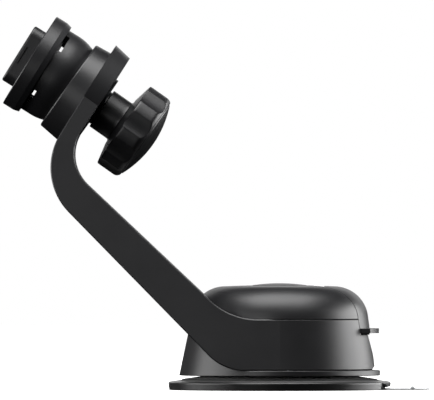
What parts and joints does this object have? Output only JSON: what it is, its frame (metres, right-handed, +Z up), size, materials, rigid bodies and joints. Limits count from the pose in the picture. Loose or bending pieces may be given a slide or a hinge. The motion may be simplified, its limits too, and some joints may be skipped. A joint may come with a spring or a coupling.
{
  "type": "car phone mount",
  "caption": "Suction-base car phone mount: lever base, wide cranked arm, clamped ball head with knob, and a twist-lock connector for a phone case.",
  "frame": {"origin": "on the base axis, in the plane of the suction cup's sole", "axes": "+Z up from the sole along the base axis; +X from the base axis towards the lever, so the arm leans towards -X; +Y across the arm"},
  "size_m": [0.1494, 0.078, 0.1306],
  "materials": {
    "black_moulding": "satin black moulded PC/ABS",
    "knob_moulding": "smooth satin black moulded nylon",
    "inner_moulding": "dark grey acetal, unpainted",
    "cup_rubber": "smooth black TPU",
    "liner_rubber": "matt black rubber",
    "clear_gel": "translucent light grey gel, smooth",
    "steel": "zinc plated",
    "black_steel": "black oxide",
    "cast_metal": "die cast, as cast",
    "brass": "turned"
  },
  "bodies": {
    "base": {"suction_cup": "cup_rubber", "gel_pad": "clear_gel", "base_housing": "black_moulding", "dome_cover": "black_moulding", "crown_disc": "black_moulding", "hinge_pin": "steel", "return_spring": "steel", "cover_screws": "steel", "ring_screws": "steel", "arm": "black_moulding", "arm_rear_panel": "black_moulding", "socket_ring": "black_moulding", "socket_liner": "liner_rubber", "socket_screws": "black_steel", "clamp_bolt": "steel", "back_washer": "black_steel"},
    "lever": {"lever": "black_moulding", "crank_pin": "steel"},
    "plunger": {"plunger": "inner_moulding"},
    "ball_tilt": {"slotted_washer": "inner_moulding"},
    "ball_side": {"clamp_cup": "cast_metal"},
    "head": {"ball_shell": "black_moulding", "connector": "black_moulding", "connector_screws": "steel", "collar_spring": "steel"},
    "collar": {"lock_collar": "black_moulding"},
    "knob_travel": {"thrust_washer": "inner_moulding"},
    "knob": {"knob_body": "knob_moulding", "knob_nut": "brass", "knob_cap": "knob_moulding"}
  },
  "joints": [
    {"name": "lever_open", "type": "hinge", "parent": "base", "child": "lever", "pos_m": [0.0155, 0, 0.0318], "axis": [0, -1, 0], "range_deg": [0, 45]},
    {"name": "plunger_drop", "type": "slide", "parent": "base", "child": "plunger", "axis": [0, 0, -1], "range_m": [0, 0.00336], "deforming": ["suction_cup", "gel_pad", "return_spring"]},
    {"name": "head_tilt", "type": "hinge", "parent": "base", "child": "ball_tilt", "pos_m": [-0.07865, 0, 0.11006], "axis": [0, 1, 0], "range_deg": [-12, 18]},
    {"name": "head_side", "type": "hinge", "parent": "ball_tilt", "child": "ball_side", "pos_m": [-0.07865, 0, 0.11006], "axis": [0.5299, 0, 0.848], "range_deg": [-15, 15]},
    {"name": "head_spin", "type": "hinge", "parent": "ball_side", "child": "head", "pos_m": [-0.07865, 0, 0.11006], "axis": [-0.848, 0, 0.5299], "continuous": true},
    {"name": "collar_press", "type": "slide", "parent": "head", "child": "collar", "axis": [0.848, 0, -0.5299], "range_m": [0, 0.001], "stiffness_N_per_m": 2000, "springref_m": -0.002, "deforming": ["collar_spring"]},
    {"name": "knob_slide", "type": "slide", "parent": "base", "child": "knob_travel", "axis": [0.8181, 0, -0.575], "range_m": [0, 0.0012]},
    {"name": "knob_turn", "type": "hinge", "parent": "knob_travel", "child": "knob", "pos_m": [-0.07865, 0, 0.11006], "axis": [0.8181, 0, -0.575], "range_deg": [0, 540]}
  ],
  "couplings": [
    {"joint": "lever_open", "follows": "plunger_drop", "rad_per_m": 233.57},
    {"joint": "knob_turn", "follows": "knob_slide", "rad_per_m": 7853.9}
  ]
}
